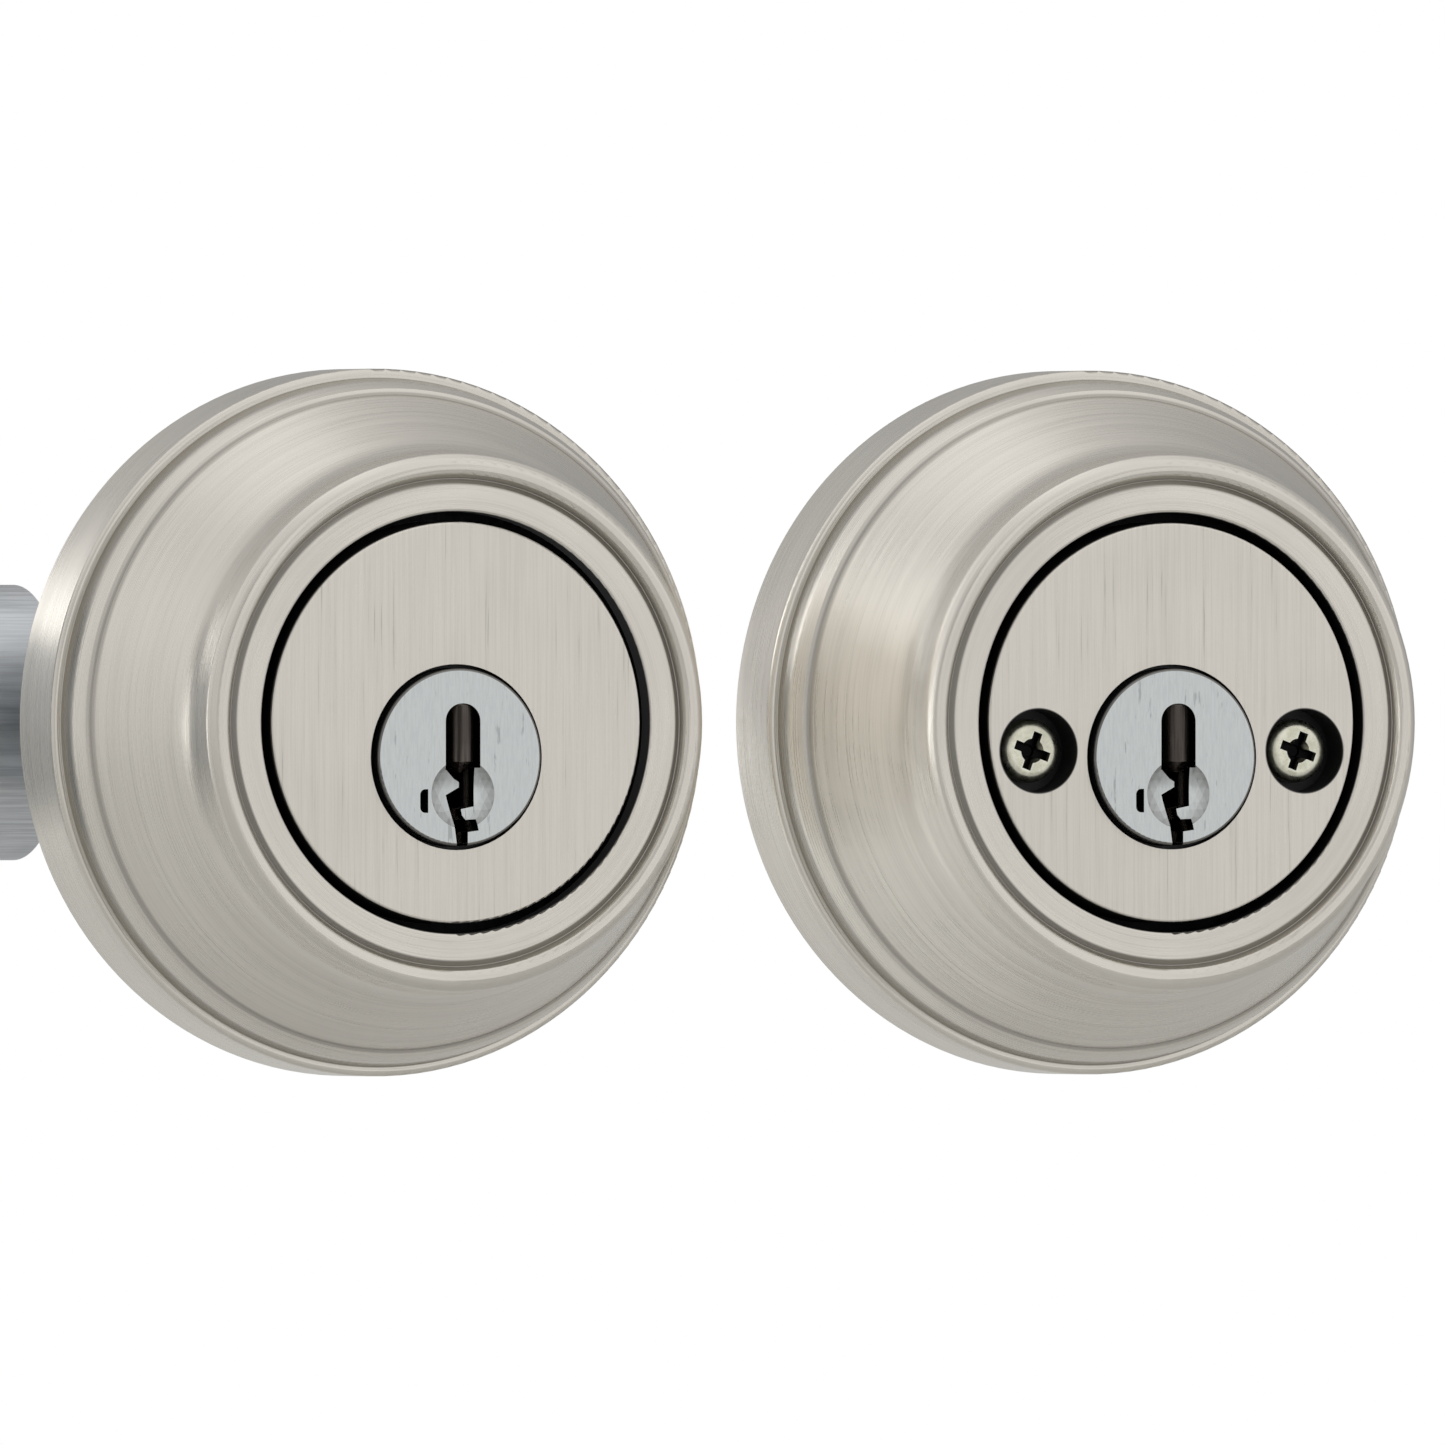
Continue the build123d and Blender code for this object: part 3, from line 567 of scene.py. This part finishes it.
# %% [markdown]
# ## The cross recesses of the screws
# The driver's cross is punched deep into each head, and its bottom sees no light. Inside a small circle round
# each screw's axis, painted shade fades the colour to black below the head's top, so the cross reads as black
# while the head's rim and the shank keep their finish.

# %% Darken the screws' recesses

CROSS_RADIUS = 0.0019
CROSS_DEPTH = 0.0009
HEAD_HEIGHT = 0.0019
CROSS_FADE = 0.0001
SHANK_FADE = 0.0002


def darken_crosses(finish, axes_x, axis_z, front_y):
    """Blends a finish's colour to black inside the heads of two screws, as painted shade."""
    tree = finish.node_tree
    shader = next(found for found in tree.nodes if found.type == "BSDF_PRINCIPLED")
    colour = shader.inputs["Base Color"].links[0].from_socket
    first, second = [use_group(tree, axis_distance, Axis_X=x, Axis_Z=axis_z) for x in axes_x]
    nearer = sums(tree, "MINIMUM", first["Radius"], second["Radius"])
    inside = ramp(tree, nearer, CROSS_RADIUS, CROSS_RADIUS + CROSS_FADE, 1.0, 0.0)
    below = ramp(tree, first["Depth"], front_y + CROSS_DEPTH * 0.4, front_y + CROSS_DEPTH)
    head_back_y = front_y + HEAD_HEIGHT
    above_shank = ramp(tree, first["Depth"], head_back_y, head_back_y + SHANK_FADE, 1.0, 0.0)
    # Painted shade: the bottom of each cross is painted black.
    dark = sums(tree, "MULTIPLY", sums(tree, "MULTIPLY", inside, below), above_shank)
    tree.links.new(blend_colours(tree, dark, colour, SHADE_BLACK), shader.inputs["Base Color"])


darken_crosses(pale_yellow_zinc, screw_axes_x, screw_middle.z, screw_low.y)
print("darkened the crosses of", pale_yellow_zinc.name, "below y =", round(screw_low.y, 4))

# %% [markdown]
# ## Moulded nylon
# The strip that holds the mounting screws is nylon. Nylon lets a little light in below its surface
# and scatters it, which is what makes it look soft, and its mould leaves a fine matt texture.

# %% The nylon of the screw retainer


NYLON_SHADE = (0.74, 0.72, 0.66, 1.0)
NYLON_LIGHT = (0.84, 0.83, 0.79, 1.0)
NYLON_DUST = (0.60, 0.58, 0.52, 1.0)


def moulded_nylon():
    """White nylon that scatters a little light below its matt skin."""
    finish, tree, shader = start_metal("white_nylon", metallic=0.0)
    skin = use_group(tree, cast_skin, Grain=1500.0)["Tone"]
    dust = use_group(tree, smudges, Size=160.0, Threshold=0.46)["Mask"]
    colour = blend_colours(tree, ramp(tree, skin, 0.3, 0.9), NYLON_SHADE, NYLON_LIGHT)
    colour = blend_colours(tree, sums(tree, "MULTIPLY", dust, 0.4), colour, NYLON_DUST)
    shader["Subsurface Weight"].default_value = 0.25
    shader["Subsurface Radius"].default_value = (0.0012, 0.0010, 0.0008)
    shader["Subsurface Scale"].default_value = 1.0
    tree.links.new(colour, shader["Base Color"])
    tree.links.new(ramp(tree, skin, 0.3, 0.9, 0.42, 0.58), shader["Roughness"])
    tree.links.new(bumped(tree, skin, 0.00003), shader["Normal"])
    return finish


white_nylon = moulded_nylon()
print("made", white_nylon.name)

# %% [markdown]
# ## Who wears what
# Each node gets its finish by name. Where many parts share a finish, a word in their names is enough
# to find them, and the first rule that fits is the one that counts.

# %% Dress the nodes

rules = [
    ("exterior_rose_retaining_ring", spring_steel),
    ("exterior_rose", outer_rose_finish),
    ("interior_rose", inner_rose_finish),
    ("exterior_cylinder_housing", outer_face_finish),
    ("interior_cylinder_housing", inner_face_finish),
    ("plug_clip", spring_steel),
    ("exterior_plug", outer_plug_finish),
    ("interior_plug", inner_plug_finish),
    ("guard_ring", black_oxide),
    ("chassis", die_cast),
    ("interior_cam", die_cast),
    ("rack_carrier", die_cast),
    ("key_pin", oiled_bronze),
    ("rack_", brass),
    ("locking_bar", brass),
    ("crank_hub", brass),
    ("spring", spring_steel),
    ("screw_retainer", white_nylon),
    ("mounting_screws", pale_yellow_zinc),
    ("anti_saw_pin", black_oxide),
    ("latch_faceplate", latch_nickel),
    ("deadbolt", latch_nickel),
    ("", zinc_plate),
]
for name, part in sorted(nodes.items()):
    finish = next(chosen for word, chosen in rules if word in name)
    if not part.material_slots:
        part.data.materials.append(finish)
    for place in part.material_slots:
        place.material = finish
print("dressed", len(nodes), "nodes")

# %% [markdown]
# ## Ten little pin springs
# A coil spring over each key pin pushes it down. Each one is wound here as its own piece, because it
# has to shorten when its own pin lifts. A curve follows a helix whose ends lie flat, as on a real
# compression spring, and its bevel gives the wire its thickness.

# %% Wind the springs

WIRE_RADIUS = 0.00011
COIL_RADIUS = 0.00080
COIL_TURNS = 4.0
POINTS_IN_A_TURN = 20
FLAT_END = 0.18
PINS_IN_A_HALF = 5


def wind_spring(name, foot, length):
    """A compression spring that stands on a point, as a mesh."""
    wire = bpy.data.curves.new(name, "CURVE")
    wire.dimensions = "3D"
    wire.bevel_depth = WIRE_RADIUS
    wire.bevel_resolution = 3
    wire.use_fill_caps = True
    path = wire.splines.new("POLY")
    steps = int(COIL_TURNS * POINTS_IN_A_TURN)
    path.points.add(steps)
    rise = length - 2 * WIRE_RADIUS
    for step in range(steps + 1):
        share = step / steps
        turn = 2 * math.pi * COIL_TURNS * share
        climb = min(max((share - FLAT_END) / (1 - 2 * FLAT_END), 0.0), 1.0)
        height = WIRE_RADIUS + rise * climb
        point = foot + Vector((COIL_RADIUS * math.cos(turn), COIL_RADIUS * math.sin(turn), height))
        path.points[step].co = (*point, 1.0)
    coil = bpy.data.objects.new(name, wire)
    bpy.context.scene.collection.objects.link(coil)
    bpy.context.view_layer.update()
    shape = bpy.data.meshes.new_from_object(coil.evaluated_get(bpy.context.evaluated_depsgraph_get()))
    bpy.data.objects.remove(coil)
    bpy.data.curves.remove(wire)
    shape.name = name
    shape.materials.clear()
    shape.materials.append(spring_steel)
    spring = bpy.data.objects.new(name, shape)
    bpy.context.scene.collection.objects.link(spring)
    return spring


for half in ("exterior", "interior"):
    spring_low, spring_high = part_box(half + "_pin_springs")
    for number in range(1, PINS_IN_A_HALF + 1):
        pin = middle(f"{half}_key_pin_{number}")
        foot = Vector((pin.x, pin.y, spring_low.z))
        spring = wind_spring(f"{half}_pin_spring_{number}", foot, spring_high.z - spring_low.z)
        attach(spring, half + "_plug")
        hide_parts(half + "_pin_springs")
        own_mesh(spring)
print("wound", 2 * PINS_IN_A_HALF, "springs of", len(spring.data.vertices), "points")

# %% [markdown]
# ## The studio dome
# Metal shows its surroundings, so lighting it means choosing what it reflects. Here the surroundings
# are a dome of soft light painted in the world shader: a base grey, and round glows on it, each with
# a direction, a size and a strength. A glow with a negative strength is a dark card. The camera
# itself sees plain white behind the lock, as on a catalogue page.

# %% Paint the dome


def glow(tree, direction, towards, inner, outer, strength):
    """A round soft patch of light on the dome, full within the inner angle and gone at the outer."""
    along = tuple(Vector(towards).normalized())
    aligned = add(tree, "ShaderNodeVectorMath", {0: direction, 1: along}, operation="DOT_PRODUCT")
    edge, full = math.cos(math.radians(outer)), math.cos(math.radians(inner))
    return ramp(tree, aligned.outputs["Value"], edge, full, 0.0, strength)


BASE_GREY = 0.52
PLAIN_WHITE = (1.0, 1.0, 1.0, 1.0)
world = bpy.data.worlds.new("studio_dome")
world.use_nodes = True
bpy.context.scene.world = world
dome = world.node_tree
dome.nodes.clear()
looking = add(dome, "ShaderNodeTexCoord").outputs["Generated"]
brightness = BASE_GREY
# each glow: its direction, its inner and outer angle in degrees, and its strength
glows = [
    ((0.39, -0.92, 0.0), 14.0, 50.0, 0.42),
    ((0.20, -0.25, 0.95), 18.0, 55.0, 0.42),
    ((-0.16, 0.39, 0.907), 5.0, 24.0, 0.36),
    ((-0.97, -0.05, 0.0), 25.0, 70.0, 0.20),
    ((-0.54, 0.31, -0.78), 10.0, 55.0, 0.30),
    ((-0.72, 0.28, 0.64), 8.0, 34.0, 0.16),
    ((0.50, 0.86, 0.0), 14.0, 40.0, -0.16),
]
for towards, inner, outer, strength in glows:
    brightness = sums(dome, "ADD", brightness, glow(dome, looking, towards, inner, outer, strength))
glowing = add(dome, "ShaderNodeBackground", {"Color": PLAIN_WHITE, "Strength": brightness})
white = add(dome, "ShaderNodeBackground", {"Color": PLAIN_WHITE, "Strength": 1.0})
from_camera = add(dome, "ShaderNodeLightPath").outputs["Is Camera Ray"]
seen = add(dome, "ShaderNodeMixShader", {0: from_camera, 1: glowing.outputs[0], 2: white.outputs[0]})
dome_end = add(dome, "ShaderNodeOutputWorld")
dome.links.new(seen.outputs[0], dome_end.inputs["Surface"])
bpy.context.scene.view_settings.view_transform = "Standard"
print("dome has", len(glows), "glows")

# %% [markdown]
# ## Floor
# The lock hangs above a pale floor, low enough to stay below the picture. It still matters: it sends
# light back up into the undersides of the roses.

# %% Lay the floor

FLOOR_DROP = 0.09
FLOOR_RADIUS = 1.2
FLOOR_SIDES = 96
PAPER_SHADE = (0.68, 0.68, 0.67, 1.0)
PAPER_LIGHT = (0.73, 0.73, 0.72, 1.0)
bpy.ops.mesh.primitive_circle_add(vertices=FLOOR_SIDES, radius=FLOOR_RADIUS, fill_type="NGON")
floor = bpy.context.active_object
floor.name = "studio_floor"
floor.location = (inner_axis.x / 2, 0.0, cad_box[0][2] - FLOOR_DROP)
paper, paper_tree, paper_shader = start_metal("floor_paper", metallic=0.0)
paper_tone = use_group(paper_tree, smudges, Size=3.0, Threshold=0.4)["Mask"]
pale = blend_colours(paper_tree, paper_tone, PAPER_SHADE, PAPER_LIGHT)
paper_tree.links.new(pale, paper_shader["Base Color"])
paper_shader["Roughness"].default_value = 0.8
floor.data.materials.append(paper)
print("floor at z =", round(floor.location.z, 4))

# %% [markdown]
# ## Camera
# Product shots use a long lens from far away, because it keeps round things round. The lens follows
# from the width of the view and the distance: focal length over sensor width is distance over view
# width. The camera stands to the left of the lock and looks level.

# %% Set the camera

VIEW_WIDTH = 0.1302
CAMERA_DISTANCE = 5.0
YAW = math.radians(23.5)
SENSOR = 36.0
AIM_X = 0.0370
aim = Vector((AIM_X, 0.0, 0.0))
to_camera = Vector((-math.sin(YAW), -math.cos(YAW), 0.0))
lens = bpy.data.cameras.new("portrait_lens")
lens.sensor_width = SENSOR
lens.lens = SENSOR * CAMERA_DISTANCE / VIEW_WIDTH
lens.clip_start = 0.01
lens.clip_end = 20.0
camera = bpy.data.objects.new("portrait_camera", lens)
bpy.context.scene.collection.objects.link(camera)
camera.location = aim + to_camera * CAMERA_DISTANCE
camera.rotation_euler = (-to_camera).to_track_quat("-Z", "Y").to_euler()
bpy.context.scene.camera = camera
print("lens of", round(lens.lens), "mm at", CAMERA_DISTANCE, "m")

# %% [markdown]
# ## Linked lights
# The halves lie side by side, so the inner half's near flank would mirror the outer half's dark
# back, and the outer rose's wall would mirror the latch behind it. A studio would move the pieces
# apart for the picture. Light linking does the same without moving anything: each of these soft
# lights reaches only the nodes in its own collection, and only those nodes cast shadows from it.

# %% Add the two linked lights

LAMP_DISTANCE = 0.9


def linked_light(name, towards, size, power, lit_nodes):
    """A round soft light that shines on some nodes only, and is shaded by them only."""
    light = bpy.data.lights.new(name, "AREA")
    light.shape = "DISK"
    light.size = size
    light.energy = power
    lamp = bpy.data.objects.new(name, light)
    bpy.context.scene.collection.objects.link(lamp)
    direction = Vector(towards).normalized()
    lit = bpy.data.collections.new(name)
    for node in lit_nodes:
        lit.objects.link(nodes[node])
    lamp.location = middle(lit_nodes[0]) + direction * LAMP_DISTANCE
    lamp.rotation_euler = direction.to_track_quat("Z", "Y").to_euler()
    lamp.light_linking.receiver_collection = lit
    lamp.light_linking.blocker_collection = lit
    print(name, "lights", len(lit_nodes), "nodes")


inner_half = [name for name in nodes if name.startswith("interior") and name != "interior_rose"]
inner_lit = ["interior_rose"] + inner_half + ["mounting_screws"]
outer_lit = ["exterior_rose", "exterior_chassis"]
linked_light("flank_light", (-0.88, 0.40, -0.26), size=1.4, power=12.0, lit_nodes=inner_lit)
linked_light("wall_light", (-0.45, 0.87, -0.30), size=1.3, power=5.0, lit_nodes=outer_lit)

# %% [markdown]
# ## Close the scene

# %% Finish

print("scene set")
